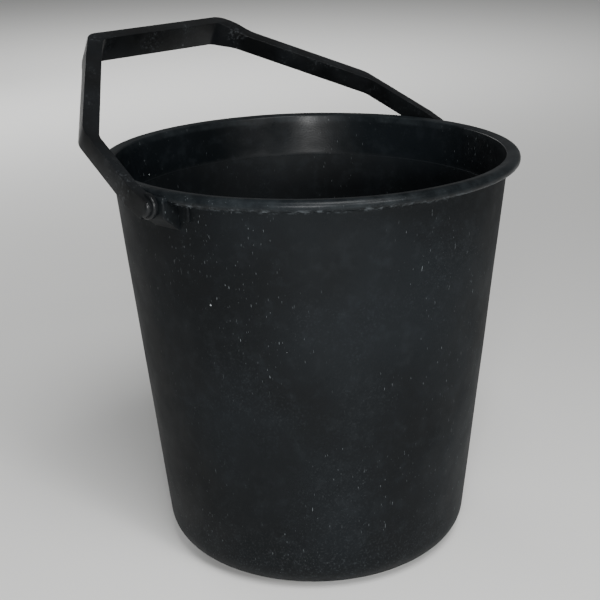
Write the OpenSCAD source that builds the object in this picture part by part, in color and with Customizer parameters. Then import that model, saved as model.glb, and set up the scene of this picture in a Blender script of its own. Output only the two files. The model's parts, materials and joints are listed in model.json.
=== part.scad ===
// Builder's bucket for mortar: one tapered tub and one swinging bail handle, both moulded in plastic.
// The origin is the centre of the surface the tub stands on. The hinge lies along X.
// At rest the handle has fallen part of the way back, towards +Y.

/* [Tub] */
// Height over the rim
tub_h = 307; // [240:1:380]
// Outside radius of the rolled rim
rim_r = 155; // [125:1:190]
// How far the rim stands out from the wall
rim_overhang = 8.2; // [7:0.1:9]
// Height of the rolled rim
bead_h = 9.7; // [9:0.1:12]
// Radius of the rolled rim's outside top edge
bead_top_r = 4.6; // [3:0.1:5.5]
// Radius of the rolled rim's outside bottom edge
bead_foot_r = 4; // [2:0.1:5]
// Radius of the rolled rim's inside top edge
bead_in_r = 1.5; // [0.5:0.1:2.5]
// Fall of the rolled rim's top face towards the inside
bead_fall = 1.8; // [0:0.1:2.5]
// Lean of the wall from upright, in degrees
wall_lean = 5.8; // [3:0.1:8]
// Wall thickness below the stacking ledge
wall_t = 3; // [2.4:0.1:4]
// Step in the inside of the wall, where a stacked tub would rest
ledge_step = 0.8; // [0.4:0.1:1.2]
// Depth of the stacking ledge below the top of the rim
ledge_depth = 35; // [25:1:50]
// Radius of the outside corner between wall and base
corner_r = 24; // [12:1:30]
// Thickness of the base
base_t = 4; // [3:0.1:6]
// Height of the ring that the tub stands on
foot_h = 2; // [1:0.1:3]
// Width of the ring that the tub stands on
foot_w = 9; // [5:0.5:14]

/* [Lugs] */
// Depth of the hinge axis below the top of the rim
hinge_depth = 12; // [11:0.5:16]
// Width of each lug, along the rim
lug_w = 25; // [22:0.5:30]
// How far each lug stands out past the rim
lug_proud = 2.5; // [1.5:0.1:4]
// How far the top of each lug is below the top of the rim
lug_below_rim = 4.5; // [3:0.1:6]
// Height of the upright face of the lug below the hinge axis
lug_drop = 7; // [6:0.5:10]
// Height of the tapered foot below that face
lug_taper = 11; // [8:0.5:16]
// Radius of the rounded outer edge of the tapered foot
lug_edge_r = 4; // [2:0.5:5]
// Thickness of the small rib on each side of a lug
rib_t = 3; // [2:0.1:4]
// Distance of each rib from the middle of its lug
rib_offset = 21.5; // [18:0.5:28]
// How far each rib stands out from the wall
rib_proud = 3; // [2:0.1:5]
// How far each rib hangs below the rim
rib_drop = 15; // [8:0.5:24]

/* [Hinge] */
// Radius of the handle's two pins
pin_r = 5; // [4:0.1:6]
// Length of each pin
pin_l = 10; // [8:0.5:10.5]
// Gap between a pin and its bore, on the radius
pin_gap = 0.08; // [0.05:0.01:0.1]
// Gap between a lug's face and the boss that turns on it
side_gap = 0.5; // [0.4:0.1:1.5]
// Gap between the end of a pin and the bottom of its bore
end_gap = 0.6; // [0.4:0.1:1]

/* [Handle] */
// Angle of the handle above level, in degrees
rest_angle = 26.4; // [0:0.1:90]
// Radius of the round boss on the inside of each arm's rounded end
boss_r = 9; // [7:0.25:12]
// Thickness of each boss, along the hinge
boss_t = 4; // [1.5:0.1:7]
// Thickness of the two lower arms, in the plane of the handle
lower_t = 8; // [6:0.1:10]
// Thickness of the two upper arms, in the plane of the handle
upper_t = 12; // [9:0.1:14]
// Thickness of the grip bar, in the plane of the handle
bar_t = 9; // [7:0.1:14]
// Width of the arms, across the plane of the handle
arm_w = 14; // [11:0.5:16]
// Width of the grip bar, across the plane of the handle
bar_w = 20.5; // [17:0.5:26]
// Distance from the hinge to the lower bend
bend_d = 76; // [70:1:90]
// How far the lower bend stands in from the arm's end
bend_in = 11.3; // [8:0.1:14]
// Distance from the hinge to the middle of the grip bar
bar_d = 181.5; // [160:0.5:190]
// Half the length of the grip bar, between the middles of its corners
bar_half = 66; // [50:0.5:75]
// Radius on the outside of the bends and corners
bend_r = 14; // [8:1:18]

/* [Hidden] */

arc_steps = 8;
round_fn = 96;
over = 1;

// Tub
top_r = rim_r - rim_overhang;
bottom_r = top_r - tub_h * tan(wall_lean);
bead_foot_z = tub_h - bead_h;
bead_z = bead_foot_z + bead_h / 4;
ledge_z = tub_h - ledge_depth;
inner_corner_r = corner_r - wall_t;
flat_r = bottom_r - corner_r * tan(45 - wall_lean / 2);
foot_in_r = flat_r - foot_w;

// Lugs
hinge_z = tub_h - hinge_depth;
lug_face_r = rim_r + lug_proud;
lug_top_z = tub_h - lug_below_rim;
root = 0.8 * (wall_t - ledge_step);
bore_bottom_r = lug_face_r + side_gap - pin_l - end_gap;

// Handle
arm_in_r = lug_face_r + side_gap;
arm_out_r = arm_in_r + lower_t;
knee_reach = boss_r + 6;
bend_w = arm_in_r + lower_t / 2 - bend_in;
spread_from = bar_d - bar_t / 2 - 14;
spread_to = bar_d - bar_t / 2 - 2;

// Outside radius of the plain wall at a height
function wall_r(z) = bottom_r + z * tan(wall_lean);

// Inside radius of the wall at a height above the stacking ledge
function band_r(z) = wall_r(z) - wall_t + ledge_step;

// Points of a round corner at b, between a and c, with radius r
function corner(a, b, c, r) =
    let (u = (a - b) / norm(a - b), v = (c - b) / norm(c - b))
    let (half = acos(u * v) / 2, m = (u + v) / norm(u + v))
    let (centre = b + m * r / sin(half), p = b + u * r / tan(half), q = b + v * r / tan(half))
    let (from = p - centre, to = q - centre, sweep = 180 - 2 * half)
    [for (i = [0 : arc_steps])
        let (t = i / arc_steps)
        centre + (from * sin((1 - t) * sweep) + to * sin(t * sweep)) / sin(sweep)];

// An outline with each point rounded to its own radius, where 0 leaves it sharp
function rounded(points, radii) =
    let (n = len(points))
    [for (i = [0 : n - 1])
        each radii[i] > 0
            ? corner(points[(i + n - 1) % n], points[i], points[(i + 1) % n], radii[i])
            : [points[i]]];

// Where the line through a with direction u meets the line through b with direction v
function meet(a, u, b, v) =
    a + u * ((b[0] - a[0]) * v[1] - (b[1] - a[1]) * v[0]) / (u[0] * v[1] - u[1] * v[0]);

function unit(v) = v / norm(v);
function left_of(v) = [-v[1], v[0]];

// Section of the tub as one outline: out along the underside, up the wall, over the rim and down the inside
module tub_section() {
    floor_z = base_t + foot_h;
    lip_z = tub_h - bead_fall;
    top_slope = atan(bead_fall / (rim_r - band_r(lip_z)));
    top_reach = bead_top_r / tan(45 - top_slope / 2);
    foot_round = min(bead_foot_r, 0.97 * (bead_h - top_reach));
    polygon(rounded(
        [[0, foot_h], [foot_in_r, foot_h], [foot_in_r, 0], [bottom_r, 0],
         [wall_r(bead_foot_z), bead_foot_z], [rim_r, bead_foot_z], [rim_r, tub_h],
         [band_r(lip_z), lip_z], [band_r(ledge_z), ledge_z], [wall_r(ledge_z) - wall_t, ledge_z],
         [wall_r(floor_z) - wall_t, floor_z], [0, floor_z]],
        [0, 0, 0, corner_r, 0, foot_round, bead_top_r, bead_in_r, 0, 0, inner_corner_r, 0]));
}

// Solid of one lug on the +X side, before its bore, rooted in the thickness of the wall
module lug() {
    face_z = hinge_z - lug_drop;
    foot_z = face_z - lug_taper;
    profile = rounded(
        [[wall_r(lug_top_z) - root, lug_top_z], [lug_face_r, lug_top_z], [lug_face_r, face_z],
         [wall_r(foot_z), foot_z], [wall_r(foot_z) - root, foot_z]],
        [0, 2, lug_edge_r, 0, 0]);
    translate([0, lug_w / 2, 0]) rotate([90, 0, 0]) linear_extrude(lug_w) polygon(profile);
}

// One small rib under the rim, at a distance along Y from the hinge
module rib(y) {
    foot_z = bead_foot_z - rib_drop;
    out = wall_r(foot_z) + rib_proud;
    profile = [
        [wall_r(bead_z) - root, bead_z], [out + 1, bead_z],
        [out, foot_z + rib_proud], [wall_r(foot_z) - root, foot_z]];
    rotate([0, 0, asin(y / wall_r(bead_z))]) translate([0, rib_t / 2, 0]) rotate([90, 0, 0])
        linear_extrude(rib_t) polygon(profile);
}

// A bore for the pin on the +X side
module bore() {
    translate([bore_bottom_r, 0, hinge_z]) rotate([0, 90, 0])
        cylinder(r = pin_r + pin_gap, h = lug_face_r - bore_bottom_r + over, $fn = round_fn);
}

// The tub with its rim, two lugs and four ribs
module tub() {
    color("#25282b") difference() {
        union() {
            rotate_extrude($fn = round_fn) tub_section();
            for (turn = [0, 180]) rotate([0, 0, turn]) {
                lug();
                for (side = [-1, 1]) rib(side * rib_offset);
            }
        }
        for (turn = [0, 180]) rotate([0, 0, turn]) bore();
    }
}

// Outline of the handle in its own plane, right half: X along the hinge, Y away from it
module handle_outline() {
    knee = [arm_in_r + lower_t / 2, knee_reach];
    bend = [bend_w, bend_d];
    shoulder = [bar_half, bar_d];
    low = unit(bend - knee);
    high = unit(shoulder - bend);
    across = [-1, 0];
    low_out = -left_of(low) * lower_t / 2;
    high_out = -left_of(high) * upper_t / 2;
    bar_out = [0, bar_t / 2];
    knee_y = [0, 1];
    outer = [
        [0, bar_d + bar_t / 2],
        meet([0, bar_d] + bar_out, across, shoulder + high_out, high),
        meet(shoulder + high_out, high, bend + low_out, low),
        meet(bend + low_out, low, [arm_out_r, 0], knee_y),
        [arm_out_r, 0]];
    inner = [
        [arm_in_r, 0],
        meet(bend - low_out, low, [arm_in_r, 0], knee_y),
        meet(shoulder - high_out, high, bend - low_out, low),
        meet([0, bar_d] - bar_out, across, shoulder - high_out, high),
        [0, bar_d - bar_t / 2]];
    polygon(rounded(
        concat(outer, inner),
        [0, bend_r, bend_r + lower_t, bend_r, 0, 0, bend_r, bend_r, bend_r - bar_t / 2, 0]));
}

// Outline of the handle seen along the hinge: wider at the grip bar than along the arms
module handle_side() {
    polygon([
        [-arm_w / 2, 0], [arm_w / 2, 0], [arm_w / 2, spread_from], [bar_w / 2, spread_to],
        [bar_w / 2, bar_d + bar_t], [-bar_w / 2, bar_d + bar_t], [-bar_w / 2, spread_to],
        [-arm_w / 2, spread_from]]);
}

// Right half of the handle, lying flat with the hinge along X
module half_handle() {
    intersection() {
        translate([0, 0, -bar_w / 2]) linear_extrude(bar_w) handle_outline();
        rotate([90, 0, 90]) translate([0, 0, -over])
            linear_extrude(arm_out_r + 2 * over) rotate(90) mirror([0, 1]) handle_side();
    }
    translate([arm_in_r, 0, 0]) rotate([0, 90, 0]) {
        cylinder(r = arm_w / 2, h = lower_t, $fn = round_fn);
        cylinder(r = boss_r, h = boss_t, $fn = round_fn);
    }
    translate([arm_in_r - pin_l, 0, 0]) rotate([0, 90, 0])
        cylinder(r = pin_r, h = pin_l + over, $fn = round_fn);
}

// The handle in its rest position
module bail_handle() {
    color("#2b2d2f") translate([0, 0, hinge_z]) rotate([rest_angle, 0, 0]) {
        half_handle();
        mirror([1, 0, 0]) half_handle();
    }
}

tub();
bail_handle();
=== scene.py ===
"""A black plastic builder's bucket with a swinging bail handle, dressed around its CAD frame.

Lengths are in metres. The hinge lies along X, Z is up, and the handle leans back towards +Y.
"""
import json
import math

import bpy
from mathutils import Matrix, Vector


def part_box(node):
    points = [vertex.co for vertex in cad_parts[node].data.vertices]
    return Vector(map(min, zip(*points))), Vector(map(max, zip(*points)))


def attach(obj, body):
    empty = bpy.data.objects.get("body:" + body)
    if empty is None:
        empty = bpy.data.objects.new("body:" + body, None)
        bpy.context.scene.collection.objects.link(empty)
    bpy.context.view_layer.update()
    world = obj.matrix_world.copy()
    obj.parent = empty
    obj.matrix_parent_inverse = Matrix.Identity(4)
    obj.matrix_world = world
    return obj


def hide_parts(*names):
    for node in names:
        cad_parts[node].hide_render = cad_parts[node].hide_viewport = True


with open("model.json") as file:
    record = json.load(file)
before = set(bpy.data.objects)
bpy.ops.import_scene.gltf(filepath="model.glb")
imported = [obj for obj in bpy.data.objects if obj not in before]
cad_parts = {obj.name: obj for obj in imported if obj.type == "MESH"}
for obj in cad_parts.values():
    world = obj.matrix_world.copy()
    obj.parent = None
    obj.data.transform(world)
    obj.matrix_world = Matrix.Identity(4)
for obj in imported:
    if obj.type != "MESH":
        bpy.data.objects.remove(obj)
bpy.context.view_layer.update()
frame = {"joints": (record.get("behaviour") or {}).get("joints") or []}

MM = 0.001
NEAR = 0.1 * MM     # how close a point has to be to count as on a plane
MERGE = 0.01 * MM   # points this close are one point

# ---------------------------------------------------------------- sizes, from the frame
tub_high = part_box("tub")[1]
handle_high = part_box("bail_handle")[1]

RIM_R = tub_high.y
TUB_H = tub_high.z
LUG_FACE_R = tub_high.x
ARM_OUT_R = handle_high.x
HINGE_Z = frame["joints"][0]["pos_m"][2]

# ---------------------------------------------------------------- sizes of the tub
WALL_LEAN = math.radians(5.8)
WALL_T = 3 * MM
RIM_OVERHANG = 8.2 * MM
BEAD_H = 9.7 * MM
BEAD_TOP_R = 4.6 * MM
BEAD_FOOT_R = 3.9 * MM
BEAD_IN_R = 1.5 * MM
BEAD_ROOT_R = 0.9 * MM
BEAD_FALL = 1.8 * MM
BEAD_FOOT_Z = TUB_H - BEAD_H
LEDGE_STEP = 0.8 * MM
LEDGE_Z = TUB_H - 35 * MM
LEDGE_EDGE_R = 0.3 * MM
LEDGE_ROOT_R = 0.35 * MM
CORNER_R = 24 * MM
BASE_T = 4 * MM
FOOT_H = 2 * MM
FOOT_W = 9 * MM
FOOT_EDGE_R = 0.8 * MM
BOTTOM_R = RIM_R - RIM_OVERHANG - TUB_H * math.tan(WALL_LEAN)

TURNS = 160
LONGEST_STEP = 9 * MM
WAVE = 90 * MM
WAVE_DEPTH = 0.55 * MM

LUG_W = 25 * MM
LUG_BELOW_RIM = 4.5 * MM
LUG_DROP = 7 * MM
LUG_TAPER = 11 * MM
LUG_KNEE_R = 4 * MM
LUG_EDGE_R = 1.4 * MM
BORE_R = 5.1 * MM
BORE_DEPTH = 10.2 * MM

RIB_T = 3 * MM
RIB_OFFSET = 21.5 * MM
RIB_PROUD = 3 * MM
RIB_DROP = 15 * MM
RIB_EDGE_R = 0.9 * MM

BLOCK_BACK = 16 * MM    # how far inside the rim a lug's or rib's block starts, uncut
ROOT = 1.5 * MM         # how deep lugs and ribs are rooted in the wall

# ---------------------------------------------------------------- sizes of the handle
REST_ANGLE = math.radians(26.4)
PIN_R = 5 * MM
PIN_L = 10 * MM
PIN_TIP_L = 0.8 * MM
PIN_TIP_SHARE = 0.86
BOSS_R = 9 * MM
BOSS_T = 4 * MM
BOSS_EDGE_R = 1.6 * MM
BOSS_FOOT_R = 0.5 * MM
LOWER_T = 8 * MM
UPPER_T = 12 * MM
BAR_T = 9 * MM
ARM_W = 14 * MM
BAR_W = 20.5 * MM
ARM_IN_R = ARM_OUT_R - LOWER_T
ARM_PAST_PIN = 3 * MM
KNEE_D = BOSS_R + 6 * MM
BEND_D = 76 * MM
BEND_IN = 11.3 * MM
BAR_D = 181.5 * MM
BAR_HALF = 66 * MM
BEND_R = 14 * MM
SPREAD_FROM = 163 * MM
SPREAD_TO = 175 * MM
SPREAD_R = 30 * MM
HANDLE_EDGE_R = 2.6 * MM
GAUGE_PAST = 30 * MM
GAUGE_LENGTH = 400 * MM

# ---------------------------------------------------------------- colours
TUB_DARK = "#090c0e"
TUB_LIGHT = "#111518"
TUB_MOTTLE = "#2d3236"
TUB_DUST = "#80878c"
TUB_SCUFF = "#8a9194"
TUB_GRAIN = "#a9aeb0"
TUB_CRUST = "#70767a"
TUB_RUBBED = "#596064"
HANDLE_DARK = "#0b0c0d"
HANDLE_LIGHT = "#131517"
HANDLE_DUST = "#7a8084"
HANDLE_SCUFF = "#60666a"
HANDLE_GRAIN = "#94999b"
FLOOR_PALE = "#e9e9e7"
STUDIO_PALE = "#f2f3f4"

# ---------------------------------------------------------------- studio: lamps and camera
STUDIO_STRENGTH = 0.17
FLOOR_SIZE = 60
FLOOR_ROUGHNESS = 0.8
LAMPS = (   # name, place, aimed at, size, watts
    ("above_the_camera", (-0.6, -1.05, 2.0), (0, 0.4, 0), (1.0, 1.0), 40),
    ("right_of_the_camera", (-0.28, -1.05, 0.60), (0, 0, 0.24), (0.22, 0.22), 4.5),
    ("low_by_the_camera", (-0.72, -0.62, 0.44), (0, 0, 0.30), (0.16, 0.08), 5.5),
    ("on_the_far_floor", (1.6, 1.9, 1.4), (2.2, 2.6, 0), (1.6, 1.6), 30),
    ("behind", (0.3, 2.1, 0.85), (0, 0, 0.15), (1.4, 0.6), 14),
)
CAMERA_TURN = math.radians(48.15)
CAMERA_AWAY = 0.90623
CAMERA_HEIGHT = 0.49647
CAMERA_AIM = Vector((-0.00646, 0.00721, 0.18736))
CAMERA_ROLL = -0.025
CAMERA_SENSOR_MM = 36
CAMERA_LENS_MM = 74.39


# ---------------------------------------------------------------- small helpers
def deselect_all():
    bpy.ops.object.select_all(action="DESELECT")


def activate(piece):
    deselect_all()
    piece.select_set(True)
    bpy.context.view_layer.objects.active = piece


def edit(piece):
    """Opens a piece in edit mode, selecting by points, as drawing out from a point needs."""
    activate(piece)
    bpy.ops.object.mode_set(mode="EDIT")
    bpy.ops.mesh.select_mode(type="VERT")


def leave_edit():
    bpy.ops.object.mode_set(mode="OBJECT")


def select_where(piece, kind, wanted):
    """Selects the vertices, edges or faces in edit mode for whose points wanted is true."""
    bpy.ops.object.mode_set(mode="OBJECT")
    mesh = piece.data
    for group in (mesh.vertices, mesh.edges, mesh.polygons):
        group.foreach_set("select", [False] * len(group))
    if kind == "VERT":
        for vertex in mesh.vertices:
            vertex.select = wanted(vertex.co)
    else:
        for element in {"EDGE": mesh.edges, "FACE": mesh.polygons}[kind]:
            element.select = all(wanted(mesh.vertices[i].co) for i in element.vertices)
    bpy.ops.object.mode_set(mode="EDIT")
    bpy.ops.mesh.select_mode(type=kind)


def apply_modifier(piece, kind, **settings):
    activate(piece)
    modifier = piece.modifiers.new(kind.lower(), kind)
    for name, value in settings.items():
        setattr(modifier, name, value)
    bpy.ops.object.modifier_apply(modifier=modifier.name)


def settle(piece):
    """Puts a piece's place, turn and scale into its mesh."""
    activate(piece)
    bpy.ops.object.transform_apply(location=True, rotation=True, scale=True)


def clean(piece):
    """Merges doubles and turns the faces outwards."""
    edit(piece)
    bpy.ops.mesh.select_all(action="SELECT")
    bpy.ops.mesh.remove_doubles(threshold=MERGE)
    bpy.ops.mesh.normals_make_consistent(inside=False)
    leave_edit()


def smooth(piece, degrees):
    activate(piece)
    bpy.ops.object.shade_smooth_by_angle(angle=math.radians(degrees))


def combine(piece, other, operation):
    """Joins another solid to a piece, cuts it away or keeps what both share, then removes it."""
    apply_modifier(piece, "BOOLEAN", object=other, operation=operation, solver="EXACT")
    bpy.data.objects.remove(other)


def round_edges(piece, radius, segments, from_degrees):
    """Rounds every edge of a piece that is sharper than an angle."""
    apply_modifier(
        piece, "BEVEL", width=radius, segments=segments, limit_method="ANGLE",
        angle_limit=math.radians(from_degrees))


def turned_copy(piece, turn):
    """A copy of a piece, with its own mesh, turned about the tub's axis."""
    activate(piece)
    bpy.ops.object.duplicate()
    copy = bpy.context.object
    copy.rotation_euler.z = turn
    settle(copy)
    return copy


def solid_block(name, low, high):
    deselect_all()
    bpy.ops.mesh.primitive_cube_add(
        size=1, location=[(a + b) / 2 for a, b in zip(low, high)],
        scale=[b - a for a, b in zip(low, high)])
    block = bpy.context.object
    block.name = name
    settle(block)
    return block


def round_bar(name, radius, length, middle, sides):
    """A round bar along X."""
    deselect_all()
    bpy.ops.mesh.primitive_cylinder_add(
        vertices=sides, radius=radius, depth=length, location=middle,
        rotation=(0, math.pi / 2, 0))
    bar = bpy.context.object
    bar.name = name
    settle(bar)
    return bar


# ---------------------------------------------------------------- outlines
def arc_corner(before, point, after, radius, steps):
    """Points of a round corner of a flat outline."""
    u = (before - point).normalized()
    v = (after - point).normalized()
    half = u.angle(v) / 2
    centre = point + (u + v).normalized() * radius / math.sin(half)
    start = point + u * radius / math.tan(half) - centre
    end = point + v * radius / math.tan(half) - centre
    sweep = math.pi - 2 * half
    return [
        centre + (start * math.sin((1 - i / steps) * sweep)
                  + end * math.sin(i / steps * sweep)) / math.sin(sweep)
        for i in range(steps + 1)
    ]


def rounded(corners, steps=8):
    """A closed outline of (point, radius) corners, where a radius of 0 leaves the corner sharp."""
    points = [Vector(point) for point, _ in corners]
    outline = []
    for i, (_, radius) in enumerate(corners):
        before, after = points[i - 1], points[(i + 1) % len(points)]
        outline += arc_corner(before, points[i], after, radius, steps) if radius else [points[i]]
    return outline


def divided(outline, longest):
    """Open outline with extra points, so no stretch is longer than the given length."""
    result = [outline[0]]
    for a, b in zip(outline, outline[1:]):
        pieces = max(1, math.ceil((b - a).length / longest))
        result += [a.lerp(b, (i + 1) / pieces) for i in range(pieces)]
    return result


def meet(a, u, b, v):
    """Where the line through a along u meets the line through b along v."""
    return a + u * ((b.x - a.x) * v.y - (b.y - a.y) * v.x) / (u.x * v.y - u.y * v.x)


def draw_out(name, points):
    """A chain of edges through the points, drawn out from one vertex."""
    deselect_all()
    bpy.ops.mesh.primitive_plane_add(size=MM)
    piece = bpy.context.object
    piece.name = name
    edit(piece)
    bpy.ops.mesh.select_all(action="SELECT")
    bpy.ops.mesh.merge(type="CENTER")
    bpy.ops.transform.translate(value=points[0])
    for a, b in zip(points, points[1:]):
        bpy.ops.mesh.extrude_region_move(TRANSFORM_OT_translate={"value": b - a})
    leave_edit()
    return piece


def filled(name, points, thickness):
    """A slab with a flat outline and a thickness, centred on the outline's plane."""
    slab = draw_out(name, points)
    edit(slab)
    bpy.ops.mesh.select_all(action="SELECT")
    bpy.ops.mesh.edge_face_add()
    bpy.ops.mesh.extrude_region_move(TRANSFORM_OT_translate={"value": thickness})
    bpy.ops.mesh.select_all(action="SELECT")
    bpy.ops.transform.translate(value=-thickness / 2)
    leave_edit()
    return slab


# ---------------------------------------------------------------- the tub
def wall_r(z):
    """Radius of the wall's outside at a height."""
    return BOTTOM_R + z * math.tan(WALL_LEAN)


def tub_outline():
    """Half section of the tub, from the underside's middle round to the middle of the floor."""
    flat_r = BOTTOM_R - CORNER_R * math.tan(math.pi / 4 - WALL_LEAN / 2)
    foot_in_r = flat_r - FOOT_W
    floor_z = BASE_T + FOOT_H
    lip_z = TUB_H - BEAD_FALL
    band = LEDGE_STEP - WALL_T
    corners = [
        ((0, FOOT_H), 0),
        ((foot_in_r, FOOT_H), FOOT_EDGE_R),
        ((foot_in_r, 0), FOOT_EDGE_R),
        ((BOTTOM_R, 0), CORNER_R),
        ((wall_r(BEAD_FOOT_Z), BEAD_FOOT_Z), BEAD_ROOT_R),
        ((RIM_R, BEAD_FOOT_Z), BEAD_FOOT_R),
        ((RIM_R, TUB_H), BEAD_TOP_R),
        ((wall_r(lip_z) + band, lip_z), BEAD_IN_R),
        ((wall_r(LEDGE_Z) + band, LEDGE_Z), LEDGE_EDGE_R),
        ((wall_r(LEDGE_Z) - WALL_T, LEDGE_Z), LEDGE_ROOT_R),
        ((wall_r(floor_z) - WALL_T, floor_z), CORNER_R - WALL_T),
        ((0, floor_z), 0),
    ]
    flat = rounded(corners, steps=10)
    return [Vector((p.x, 0, p.y)) for p in divided(flat, LONGEST_STEP)]


def turned_tub():
    """The round body, spun from its half section, and a trace uneven as mouldings are."""
    tub = draw_out("tub_body", tub_outline())
    edit(tub)
    bpy.ops.mesh.select_all(action="SELECT")
    bpy.ops.mesh.spin(steps=TURNS, angle=2 * math.pi, center=(0, 0, 0), axis=(0, 0, 1))
    leave_edit()
    clean(tub)
    unevenness = bpy.data.textures.new("wall_unevenness", "CLOUDS")
    unevenness.noise_scale = WAVE
    unevenness.noise_depth = 1
    # a mid level of 1 moves the surface inwards only, so it stays inside the frame's box
    apply_modifier(
        tub, "DISPLACE", texture=unevenness, texture_coords="LOCAL", strength=WAVE_DEPTH,
        mid_level=1.0)
    return tub


def cut_back_to_wall(block):
    """Cuts a block's back along the leaning wall, so that it is rooted in the wall's thickness."""
    edit(block)
    bpy.ops.mesh.select_all(action="SELECT")
    bpy.ops.mesh.bisect(
        plane_co=(BOTTOM_R - ROOT, 0, 0),
        plane_no=(math.cos(WALL_LEAN), 0, -math.sin(WALL_LEAN)),
        use_fill=True, clear_inner=True)
    leave_edit()


def hinge_lug():
    """The lug under the rim at +X: an upright face whose foot tapers back to the wall."""
    top_z = TUB_H - LUG_BELOW_RIM
    face_z = HINGE_Z - LUG_DROP
    foot_z = face_z - LUG_TAPER
    face_x = LUG_FACE_R - NEAR
    lug = solid_block(
        "lug", (RIM_R - BLOCK_BACK, -LUG_W / 2, foot_z), (LUG_FACE_R, LUG_W / 2, top_z))
    edit(lug)
    bpy.ops.mesh.select_all(action="SELECT")
    bpy.ops.mesh.bisect(plane_co=(0, 0, face_z), plane_no=(0, 0, 1))
    select_where(lug, "VERT", lambda p: p.z < foot_z + NEAR and p.x > face_x)
    bpy.ops.transform.translate(value=(wall_r(foot_z) - LUG_FACE_R, 0, 0))
    select_where(lug, "EDGE", lambda p: abs(p.z - face_z) < NEAR and p.x > face_x)
    bpy.ops.mesh.bevel(offset=LUG_KNEE_R, segments=6)
    leave_edit()
    cut_back_to_wall(lug)
    round_edges(lug, LUG_EDGE_R, 4, 40)
    clean(lug)
    return lug


def rim_rib():
    """One small upright rib under the rim at +X, with a slanted foot."""
    foot_z = BEAD_FOOT_Z - RIB_DROP
    top_z = BEAD_FOOT_Z + BEAD_H / 4
    out_r = wall_r(foot_z) + RIB_PROUD
    rib = solid_block("rib", (RIM_R - BLOCK_BACK, -RIB_T / 2, foot_z), (out_r, RIB_T / 2, top_z))
    edit(rib)
    select_where(rib, "VERT", lambda p: p.z < foot_z + NEAR and p.x > out_r - NEAR)
    bpy.ops.transform.translate(value=(0, 0, RIB_PROUD))
    leave_edit()
    cut_back_to_wall(rib)
    round_edges(rib, RIB_EDGE_R, 3, 30)
    clean(rib)
    return rib


def make_tub():
    """The tub with both lugs, four ribs, and the round bores that take the handle's pins."""
    tub = turned_tub()
    lug, rib = hinge_lug(), rim_rib()
    bore = round_bar("bore", BORE_R, 2 * BORE_DEPTH, (LUG_FACE_R, 0, HINGE_Z), 48)
    rib_turn = math.asin(RIB_OFFSET / wall_r(BEAD_FOOT_Z))
    for side in (0, math.pi):
        combine(tub, turned_copy(lug, side), "UNION")
        for turn in (-rib_turn, rib_turn):
            combine(tub, turned_copy(rib, side + turn), "UNION")
        combine(tub, turned_copy(bore, side), "DIFFERENCE")
    for pattern in (lug, rib, bore):
        bpy.data.objects.remove(pattern)
    smooth(tub, 32)
    return tub


# ---------------------------------------------------------------- the handle
def handle_half_outline():
    """Right half of the handle in its own plane: X along the hinge, Y away from it."""
    knee = Vector((ARM_IN_R + LOWER_T / 2, KNEE_D))
    bend = Vector((ARM_IN_R + LOWER_T / 2 - BEND_IN, BEND_D))
    shoulder = Vector((BAR_HALF, BAR_D))
    low = (bend - knee).normalized()
    high = (shoulder - bend).normalized()
    across = Vector((-1, 0))
    up = Vector((0, 1))
    low_out = Vector((low.y, -low.x)) * LOWER_T / 2
    high_out = Vector((high.y, -high.x)) * UPPER_T / 2
    bar_out = Vector((0, BAR_T / 2))
    bar = Vector((0, BAR_D))
    inner_face = Vector((ARM_IN_R, -ARM_PAST_PIN))
    outer_face = Vector((ARM_OUT_R, -ARM_PAST_PIN))
    corners = [
        (bar + bar_out, 0),
        (meet(bar + bar_out, across, shoulder + high_out, high), BEND_R),
        (meet(shoulder + high_out, high, bend + low_out, low), BEND_R + LOWER_T),
        (meet(bend + low_out, low, outer_face, up), BEND_R),
        (outer_face, 0),
        (inner_face, 0),
        (meet(bend - low_out, low, inner_face, up), BEND_R),
        (meet(shoulder - high_out, high, bend - low_out, low), BEND_R),
        (meet(bar - bar_out, across, shoulder - high_out, high), BEND_R - BAR_T / 2),
        (bar - bar_out, 0),
    ]
    return [Vector((p.x, p.y, 0)) for p in rounded(corners)]


def width_gauge():
    """A slab with the handle's side outline: the arms' width, spread softly to the grip bar's."""
    corners = [
        ((-GAUGE_PAST, ARM_W / 2), 0),
        ((SPREAD_FROM, ARM_W / 2), SPREAD_R),
        ((SPREAD_TO, BAR_W / 2), SPREAD_R),
        ((BAR_D + GAUGE_PAST, BAR_W / 2), 0),
    ]
    corners += [((y, -half), radius) for (y, half), radius in reversed(corners)]
    points = [Vector((0, p.x, p.y)) for p in rounded(corners, steps=6)]
    gauge = filled("width_gauge", points, Vector((GAUGE_LENGTH, 0, 0)))
    clean(gauge)
    return gauge


def handle_strap():
    """The bent strap of the handle, lying flat, wider at the grip bar than along the arms."""
    strap = filled("handle_strap", handle_half_outline(), Vector((0, 0, 2 * BAR_W)))
    apply_modifier(strap, "MIRROR", use_axis=(True, False, False), merge_threshold=MERGE)
    # the two halves meet in a wall across the grip bar's middle, which goes
    edit(strap)
    select_where(strap, "FACE", lambda p: abs(p.x) < NEAR)
    bpy.ops.mesh.delete(type="FACE")
    leave_edit()
    clean(strap)
    combine(strap, width_gauge(), "INTERSECT")
    clean(strap)
    round_edges(strap, HANDLE_EDGE_R, 5, 50)
    return strap


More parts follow.
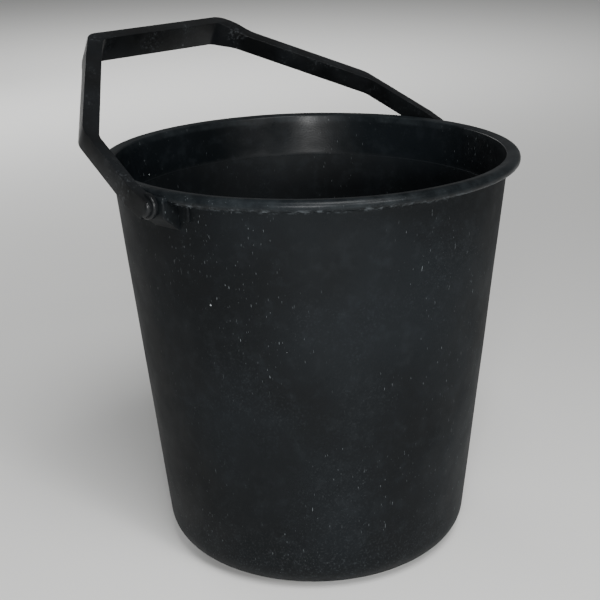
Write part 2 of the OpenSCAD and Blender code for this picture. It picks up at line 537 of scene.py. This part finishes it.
def arm_end():
    """The round end of the arm at +X, with its pin on the inside."""
    end = round_bar("arm_end", ARM_W / 2, LOWER_T, (ARM_IN_R + LOWER_T / 2, 0, 0), 64)
    # the outer edge is rounded as the arm's own edges are
    edit(end)
    select_where(end, "EDGE", lambda p: p.x > ARM_OUT_R - NEAR)
    bpy.ops.mesh.bevel(offset=HANDLE_EDGE_R, segments=5)
    # the pin: the inner face is inset and drawn out towards the tub, with a tapered tip
    select_where(end, "FACE", lambda p: p.x < ARM_IN_R + NEAR)
    bpy.ops.mesh.inset(thickness=ARM_W / 2 - PIN_R)
    for length in (PIN_L - PIN_TIP_L, PIN_TIP_L):
        bpy.ops.mesh.extrude_region_move(TRANSFORM_OT_translate={"value": (-length, 0, 0)})
    bpy.ops.transform.resize(
        value=(1, PIN_TIP_SHARE, PIN_TIP_SHARE), center_override=(ARM_IN_R - PIN_L, 0, 0))
    leave_edit()
    clean(end)
    return end


def arm_boss():
    """The wider boss at +X that turns against the lug, with soft edges."""
    boss = round_bar("arm_boss", BOSS_R, BOSS_T, (ARM_IN_R + BOSS_T / 2, 0, 0), 64)
    edit(boss)
    select_where(boss, "EDGE", lambda p: p.x > ARM_IN_R + BOSS_T - NEAR)
    bpy.ops.mesh.bevel(offset=BOSS_EDGE_R, segments=5)
    select_where(boss, "EDGE", lambda p: p.x < ARM_IN_R + NEAR)
    bpy.ops.mesh.bevel(offset=BOSS_FOOT_R, segments=2)
    leave_edit()
    clean(boss)
    return boss


def make_handle():
    """The whole handle, built flat along Y, then leaned up to its rest angle on the hinge."""
    handle = handle_strap()
    handle.name = "handle_body"
    end, boss = arm_end(), arm_boss()
    for side in (0, math.pi):
        combine(handle, turned_copy(end, side), "UNION")
        combine(handle, turned_copy(boss, side), "UNION")
    for pattern in (end, boss):
        bpy.data.objects.remove(pattern)
    handle.rotation_euler.x = REST_ANGLE
    handle.location.z = HINGE_Z
    settle(handle)
    smooth(handle, 35)
    return handle


# ---------------------------------------------------------------- materials
def linear(hex_colour):
    """An sRGB hex colour as linear RGBA."""
    parts = [int(hex_colour[i:i + 2], 16) / 255 for i in (1, 3, 5)]
    return tuple(p / 12.92 if p <= 0.04045 else ((p + 0.055) / 1.055) ** 2.4
                 for p in parts) + (1,)


def new_material(name):
    material = bpy.data.materials.new(name)
    material.use_nodes = True
    material.node_tree.nodes.clear()
    return material, material.node_tree


def add_node(tree, kind, inputs, output=None, **settings):
    """Adds a node with its settings, and a link or a value on each input that is named.

    Gives the output that is asked for, or the node itself.
    """
    node = tree.nodes.new("ShaderNode" + kind)
    for name, value in settings.items():
        setattr(node, name, value)
    for socket, value in inputs.items():
        if isinstance(value, bpy.types.NodeSocket):
            tree.links.new(value, node.inputs[socket])
        else:
            node.inputs[socket].default_value = value
    return node if output is None else node.outputs[output]


SOFT = {"interpolation_type": "SMOOTHSTEP"}
MULTIPLY = {"operation": "MULTIPLY"}
LARGER = {"operation": "MAXIMUM"}
SCALED_SUM = {"operation": "MULTIPLY_ADD"}
COLOUR = {"data_type": "RGBA"}
FACTOR, UNDER, OVER, BLEND = 0, 6, 7, 2     # a colour mix's inputs and output, by number


def patches(tree, place, size, detail, roughness, cut, levels=(0, 1), edge=SOFT):
    """A noise with features of a size, cut between two of its values and spread over two levels."""
    cloud = add_node(tree, "TexNoise", {
        "Vector": place, "Scale": 1 / size, "Detail": detail, "Roughness": roughness}, "Fac")
    return add_node(tree, "MapRange", {
        "Value": cloud, "From Min": cut[0], "From Max": cut[1],
        "To Min": levels[0], "To Max": levels[1]}, "Result", **edge)


def specks(tree, place, spacing, size, share, shift, strength):
    """Sparse small grains: a dot of its own size in a share of the cells of a 3-D grid of cells."""
    moved = add_node(tree, "Mapping", {"Vector": place, "Location": shift}, 0)
    cells = add_node(tree, "TexVoronoi", {"Vector": moved, "Scale": 1 / spacing})
    parts = add_node(tree, "SeparateColor", {"Color": cells.outputs["Color"]})
    chosen = add_node(tree, "MapRange", {
        "Value": parts.outputs["Red"], "From Min": 1 - share, "From Max": 1.01 - share},
        "Result", **SOFT)
    reach = add_node(tree, "MapRange", {
        "Value": parts.outputs["Green"], "To Min": 0.35 * size / spacing,
        "To Max": size / spacing}, "Result")
    nearness = add_node(
        tree, "Math", {0: cells.outputs["Distance"], 1: reach}, 0, operation="DIVIDE")
    dot = add_node(tree, "MapRange", {
        "Value": nearness, "From Min": 0.55, "From Max": 1, "To Min": strength, "To Max": 0},
        "Result", **SOFT)
    return add_node(tree, "Math", {0: chosen, 1: dot}, 0, **MULTIPLY)


def scratches(tree, place, width, length, turn, cut, strength):
    """Short thin marks along one direction, gathered in patches as wide as a hand."""
    drawn = add_node(tree, "Mapping", {
        "Vector": place, "Rotation": turn, "Scale": (1 / width, 1 / width, 1 / length)}, 0)
    moved = add_node(tree, "Mapping", {"Vector": place, "Location": turn}, 0)
    lines = patches(tree, drawn, 1, 1, 0.5, (cut, cut + 0.06), (0, strength))
    gathered = patches(tree, moved, 90 * MM, 2, 0.5, (0.46, 0.66))
    return add_node(tree, "Math", {0: lines, 1: gathered}, 0, **MULTIPLY)


def recycled_polyethylene():
    """Injection-moulded recycled polyethylene.

    It looks blue-black and semi-matt, clouded by the regrind in it, scuffed and dusted by mortar.
    """
    material, tree = new_material("recycled_polyethylene")
    place = add_node(tree, "TexCoord", {}, "Object")

    # where on the tub: the height, the distance from the hinge's plane, and outside or inside
    parts = add_node(tree, "SeparateXYZ", {"Vector": place})
    height = parts.outputs["Z"]
    flat = add_node(
        tree, "CombineXYZ", {"X": parts.outputs["X"], "Y": parts.outputs["Y"]}, "Vector")
    radius = add_node(tree, "VectorMath", {0: flat}, "Value", operation="LENGTH")
    straightened = add_node(
        tree, "Math", {0: height, 1: -math.tan(WALL_LEAN), 2: radius}, 0, **SCALED_SUM)
    outside = add_node(tree, "MapRange", {
        "Value": straightened, "From Min": BOTTOM_R - 1.4 * MM, "From Max": BOTTOM_R - 0.9 * MM},
        "Result", **SOFT)
    inside = add_node(tree, "Math", {0: 1, 1: outside}, 0, operation="SUBTRACT")

    # the plastic itself: broad clouds, and a finer mottle
    clouds = patches(tree, place, 110 * MM, 4, 0.5, (0.35, 0.68))
    colour = add_node(tree, "Mix", {
        FACTOR: clouds, UNDER: linear(TUB_DARK), OVER: linear(TUB_LIGHT)}, BLEND, **COLOUR)
    mottle = patches(tree, place, 10.5 * MM, 4, 0.6, (0.48, 0.72), (0, 0.12))
    colour = add_node(tree, "Mix", {
        FACTOR: mottle, UNDER: colour, OVER: linear(TUB_MOTTLE)}, BLEND, **COLOUR)

    # film of dust: a fine grain, in patches, and thicker towards the foot
    grain = patches(tree, place, 1.6 * MM, 3, 0.7, (0.50, 0.72))
    film = patches(tree, place, 60 * MM, 5, 0.6, (0.44, 0.70), (0, 0.05))
    low = add_node(tree, "MapRange", {
        "Value": height, "From Min": 15 * MM, "From Max": 75 * MM, "To Min": 0.10, "To Max": 0},
        "Result", **SOFT)
    thickness = add_node(tree, "Math", {0: film, 1: low}, 0, **LARGER)
    dust = add_node(tree, "Math", {0: grain, 1: thickness}, 0, **MULTIPLY)
    colour = add_node(tree, "Mix", {
        FACTOR: dust, UNDER: colour, OVER: linear(TUB_DUST)}, BLEND, **COLOUR)

    # scuffs in three directions
    upright = scratches(tree, place, 0.70 * MM, 9 * MM, (0, 0, 0), 0.750, 0.60)
    slanted = scratches(tree, place, 0.60 * MM, 7 * MM, (0.7, 0.35, 0.2), 0.745, 0.60)
    leaning = scratches(tree, place, 0.65 * MM, 6 * MM, (-0.45, 0.8, 0), 0.740, 0.60)
    scuffs = add_node(tree, "Math", {0: upright, 1: slanted}, 0, **LARGER)
    scuffs = add_node(tree, "Math", {0: scuffs, 1: leaning}, 0, **LARGER)
    colour = add_node(tree, "Mix", {
        FACTOR: scuffs, UNDER: colour, OVER: linear(TUB_SCUFF)}, BLEND, **COLOUR)

    # specks of dry mortar, small and larger
    small = specks(tree, place, 14 * MM, 0.55 * MM, 0.08, (0.013, 0.004, 0.021), 0.55)
    large = specks(tree, place, 32 * MM, 1.05 * MM, 0.16, (0.007, 0.019, 0.003), 0.80)
    grains = add_node(tree, "Math", {0: small, 1: large}, 0, **LARGER)
    colour = add_node(tree, "Mix", {
        FACTOR: grains, UNDER: colour, OVER: linear(TUB_GRAIN)}, BLEND, **COLOUR)

    # a crust of cement along the rim's lower edge, outside only and clear of the lugs
    above = add_node(tree, "MapRange", {
        "Value": height, "From Min": BEAD_FOOT_Z - 3.2 * MM, "From Max": BEAD_FOOT_Z - 0.6 * MM},
        "Result", **SOFT)
    below = add_node(tree, "MapRange", {
        "Value": height, "From Min": BEAD_FOOT_Z + 0.8 * MM, "From Max": BEAD_FOOT_Z + 3.4 * MM,
        "To Min": 1, "To Max": 0}, "Result", **SOFT)
    sideways = add_node(tree, "Math", {0: parts.outputs["Y"]}, 0, operation="ABSOLUTE")
    past_lug = add_node(tree, "MapRange", {
        "Value": sideways, "From Min": LUG_W / 2 + 1 * MM, "From Max": LUG_W / 2 + 5 * MM},
        "Result", **SOFT)
    crust = patches(tree, place, 6 * MM, 4, 0.65, (0.47, 0.62))
    for limit in (above, below, outside, past_lug):
        crust = add_node(tree, "Math", {0: crust, 1: limit}, 0, **MULTIPLY)
    crust_colour = add_node(tree, "Math", {0: crust, 1: 0.40}, 0, **MULTIPLY)
    colour = add_node(tree, "Mix", {
        FACTOR: crust_colour, UNDER: colour, OVER: linear(TUB_CRUST)}, BLEND, **COLOUR)

    # the rim's top and outer face, rubbed a little paler
    rim = add_node(tree, "MapRange", {
        "Value": height, "From Min": BEAD_FOOT_Z + 1.5 * MM, "From Max": BEAD_FOOT_Z + 4 * MM},
        "Result", **SOFT)
    worn = patches(tree, place, 17 * MM, 5, 0.65, (0.30, 0.75), (0, 0.10))
    rubbed = add_node(tree, "Math", {0: rim, 1: worn}, 0, **MULTIPLY)
    colour = add_node(tree, "Mix", {
        FACTOR: rubbed, UNDER: colour, OVER: linear(TUB_RUBBED)}, BLEND, **COLOUR)

    # gloss: dirt is matt, and the rim and the band inside it are smoother than the walls
    rough = patches(tree, place, 30 * MM, 5, 0.62, (0.3, 0.7), (0.55, 0.68), edge={})
    dirt = add_node(tree, "Math", {0: grains, 1: crust}, 0, **LARGER)
    dusty = add_node(tree, "Math", {0: dust, 1: dirt}, 0, **LARGER)
    rough = add_node(tree, "Math", {0: dusty, 1: 0.6, 2: rough}, 0, use_clamp=True, **SCALED_SUM)
    over_ledge = add_node(tree, "MapRange", {
        "Value": height, "From Min": LEDGE_Z - 1 * MM, "From Max": LEDGE_Z + 3 * MM},
        "Result", **SOFT)
    inner_band = add_node(tree, "Math", {0: inside, 1: over_ledge}, 0, **MULTIPLY)
    bead = add_node(tree, "MapRange", {
        "Value": height, "From Min": BEAD_FOOT_Z - 0.5 * MM, "From Max": BEAD_FOOT_Z + 2 * MM},
        "Result", **SOFT)
    glossy = add_node(tree, "Math", {0: inner_band, 1: bead}, 0, **LARGER)
    rough = add_node(tree, "Math", {0: glossy, 1: -0.29, 2: rough}, 0, **SCALED_SUM)

    # relief: moulding waves, orange peel, and the grains and crust standing proud
    waves = add_node(tree, "TexNoise", {
        "Vector": place, "Scale": 1 / (40 * MM), "Detail": 2}, "Fac")
    peel = add_node(tree, "TexNoise", {
        "Vector": place, "Scale": 1 / (1.3 * MM), "Detail": 2, "Roughness": 0.6}, "Fac")
    normal = add_node(
        tree, "Bump", {"Height": waves, "Distance": 1.6 * MM, "Strength": 0.35}, "Normal")
    for relief, depth, strength in ((peel, 0.12 * MM, 0.35), (dirt, 0.35 * MM, 0.6)):
        normal = add_node(tree, "Bump", {
            "Height": relief, "Distance": depth, "Strength": strength, "Normal": normal}, "Normal")
    shader = add_node(tree, "BsdfPrincipled", {
        "Base Color": colour, "Roughness": rough, "IOR": 1.5, "Specular IOR Level": 0.14,
        "Normal": normal}, "BSDF")
    add_node(tree, "OutputMaterial", {"Surface": shader})
    return material


def satin_polypropylene():
    """Injection-moulded black polypropylene.

    It has a satin shine where hands have smoothed it, under a little dust.
    """
    material, tree = new_material("satin_polypropylene")
    place = add_node(tree, "TexCoord", {}, "Object")
    clouds = patches(tree, place, 36 * MM, 4, 0.5, (0.35, 0.7))
    colour = add_node(tree, "Mix", {
        FACTOR: clouds, UNDER: linear(HANDLE_DARK), OVER: linear(HANDLE_LIGHT)}, BLEND, **COLOUR)

    # dust in patches of fine grain, then scuffs, then specks of mortar
    grain = patches(tree, place, 1.9 * MM, 3, 0.7, (0.5, 0.72))
    film = patches(tree, place, 22 * MM, 5, 0.6, (0.48, 0.72), (0, 0.30))
    dust = add_node(tree, "Math", {0: grain, 1: film}, 0, **MULTIPLY)
    across = scratches(tree, place, 0.35 * MM, 5 * MM, (0.3, 1.3, 0), 0.705, 0.4)
    along = scratches(tree, place, 0.35 * MM, 6 * MM, (1.1, 0.3, 0.4), 0.71, 0.4)
    scuffs = add_node(tree, "Math", {0: across, 1: along}, 0, **LARGER)
    grains = specks(tree, place, 11 * MM, 0.5 * MM, 0.3, (0.005, 0.002, 0.017), 0.6)
    for layer, tone in ((dust, HANDLE_DUST), (scuffs, HANDLE_SCUFF), (grains, HANDLE_GRAIN)):
        colour = add_node(tree, "Mix", {
            FACTOR: layer, UNDER: colour, OVER: linear(tone)}, BLEND, **COLOUR)

    # gloss: satin, and matt where the dust lies
    rough = patches(tree, place, 14 * MM, 4, 0.6, (0.3, 0.7), (0.27, 0.42), edge={})
    rough = add_node(tree, "Math", {0: dust, 1: 0.8, 2: rough}, 0, use_clamp=True, **SCALED_SUM)

    # relief: moulding waves and orange peel
    waves = add_node(tree, "TexNoise", {
        "Vector": place, "Scale": 1 / (17 * MM), "Detail": 2}, "Fac")
    peel = add_node(tree, "TexNoise", {
        "Vector": place, "Scale": 1 / (1.1 * MM), "Detail": 2, "Roughness": 0.6}, "Fac")
    normal = add_node(
        tree, "Bump", {"Height": waves, "Distance": 0.5 * MM, "Strength": 0.35}, "Normal")
    normal = add_node(tree, "Bump", {
        "Height": peel, "Distance": 0.08 * MM, "Strength": 0.3, "Normal": normal}, "Normal")
    shader = add_node(tree, "BsdfPrincipled", {
        "Base Color": colour, "Roughness": rough, "IOR": 1.49, "Specular IOR Level": 0.24,
        "Normal": normal}, "BSDF")
    add_node(tree, "OutputMaterial", {"Surface": shader})
    return material


# ---------------------------------------------------------------- stage, lights and camera
def pale_floor():
    deselect_all()
    bpy.ops.mesh.primitive_plane_add(size=FLOOR_SIZE, location=(0, 0, 0))
    floor = bpy.context.object
    floor.name = "pale_floor"
    material, tree = new_material("pale_floor")
    shader = add_node(tree, "BsdfPrincipled", {
        "Base Color": linear(FLOOR_PALE), "Roughness": FLOOR_ROUGHNESS}, "BSDF")
    add_node(tree, "OutputMaterial", {"Surface": shader})
    floor.data.materials.append(material)


def softbox(name, place, target, size, watts):
    """A rectangular lamp that lights the scene but is not seen itself."""
    deselect_all()
    bpy.ops.object.light_add(type="AREA", location=place)
    lamp = bpy.context.object
    lamp.name = name
    lamp.data.shape = "RECTANGLE"
    lamp.data.size, lamp.data.size_y = size
    lamp.data.energy = watts
    lamp.visible_camera = False
    lamp.rotation_euler = (Vector(target) - Vector(place)).to_track_quat("-Z", "Y").to_euler()


def studio():
    world = bpy.data.worlds.new("pale_studio")
    world.use_nodes = True
    background = world.node_tree.nodes["Background"]
    background.inputs["Color"].default_value = linear(STUDIO_PALE)
    background.inputs["Strength"].default_value = STUDIO_STRENGTH
    bpy.context.scene.world = world
    for lamp in LAMPS:
        softbox(*lamp)


def camera():
    """Looks down a little, from the side that puts the near lug left of the middle."""
    place = Vector((
        -CAMERA_AWAY * math.sin(CAMERA_TURN), -CAMERA_AWAY * math.cos(CAMERA_TURN),
        CAMERA_HEIGHT))
    deselect_all()
    bpy.ops.object.camera_add(
        location=place, rotation=(CAMERA_AIM - place).to_track_quat("-Z", "Y").to_euler())
    eye = bpy.context.object
    eye.rotation_euler.rotate_axis("Z", CAMERA_ROLL)
    eye.data.sensor_width = CAMERA_SENSOR_MM
    eye.data.lens = CAMERA_LENS_MM
    bpy.context.scene.camera = eye


# ---------------------------------------------------------------- assembly
camera()
studio()
pale_floor()

tub_piece = make_tub()
tub_piece.data.materials.clear()
tub_piece.data.materials.append(recycled_polyethylene())
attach(tub_piece, "tub")
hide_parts("tub")

handle_piece = make_handle()
handle_piece.data.materials.clear()
handle_piece.data.materials.append(satin_polypropylene())
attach(handle_piece, "handle")
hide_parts("bail_handle")

bpy.context.view_layer.update()
